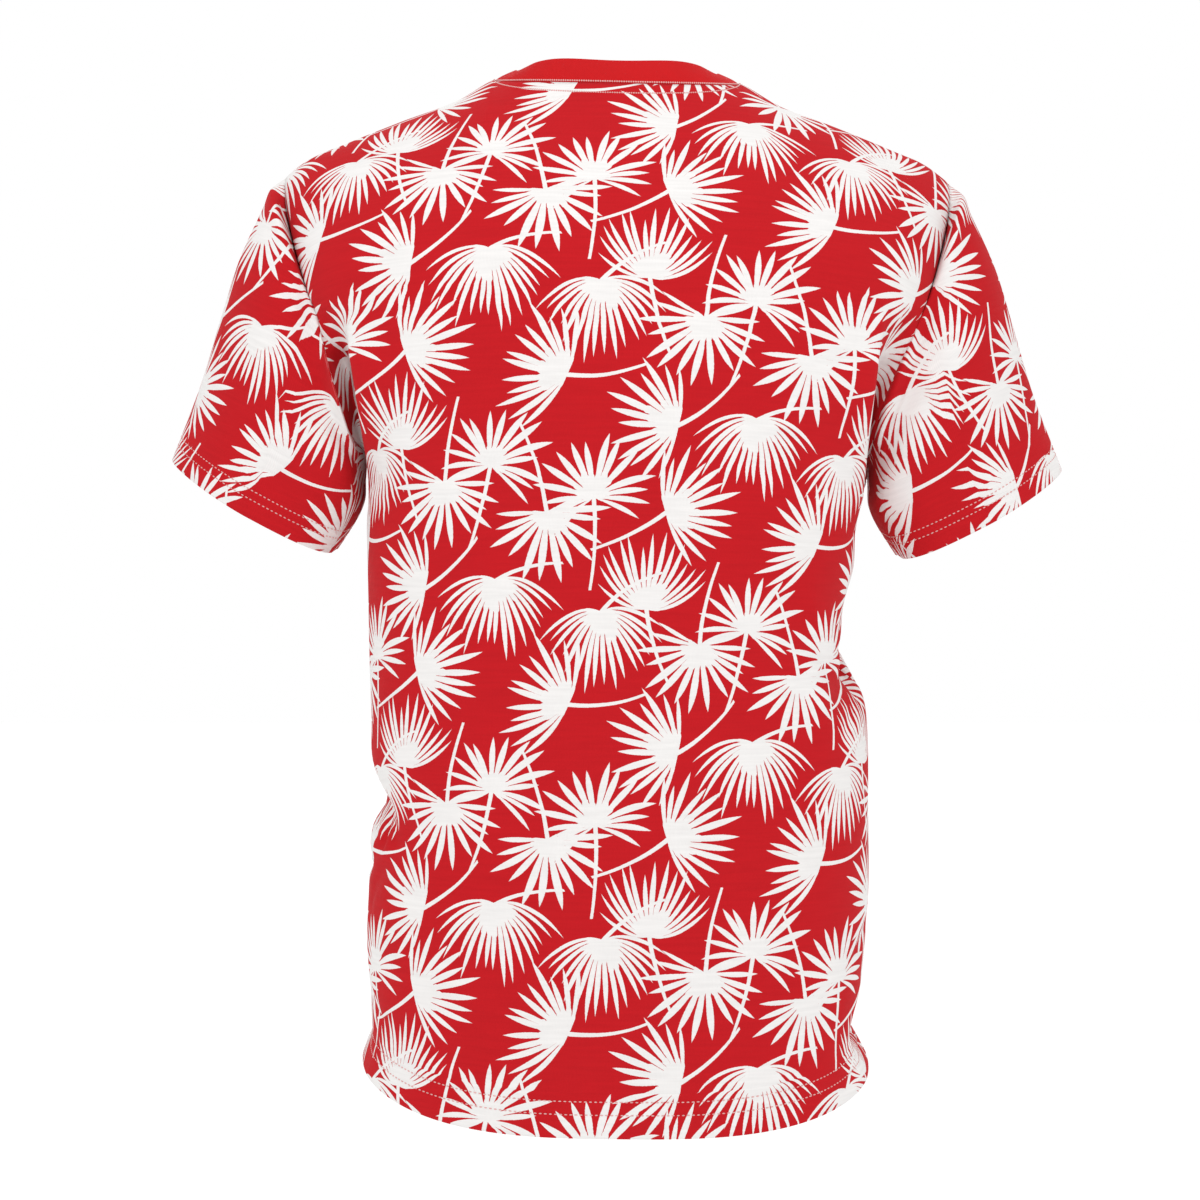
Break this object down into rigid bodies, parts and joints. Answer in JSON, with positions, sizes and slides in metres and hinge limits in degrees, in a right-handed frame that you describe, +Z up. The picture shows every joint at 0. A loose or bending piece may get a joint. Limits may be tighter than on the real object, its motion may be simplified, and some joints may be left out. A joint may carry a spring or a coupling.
{
  "type": "t-shirt",
  "caption": "Crew-neck t-shirt with short set-in sleeves and a leaf print, hollow as if worn, open at neck, hem and cuffs.",
  "frame": {"origin": "midway between the two points where the shoulder seams meet the neckline, where a wearer's shoulders carry the shirt", "axes": "+Z up towards the neck, -Y the way the wearer faces, +Y the back, +X the wearer's left"},
  "size_m": [0.626, 0.2764, 0.7188],
  "materials": {
    "printed_jersey": "matt cotton jersey, red ground with white palm-leaf print",
    "neck_rib": "matt fine rib, plain red"
  },
  "bodies": {
    "root": {"back": "printed_jersey", "front": "printed_jersey", "sleeve_left": "printed_jersey", "sleeve_right": "printed_jersey", "neckband": "neck_rib"}
  },
  "joints": []
}
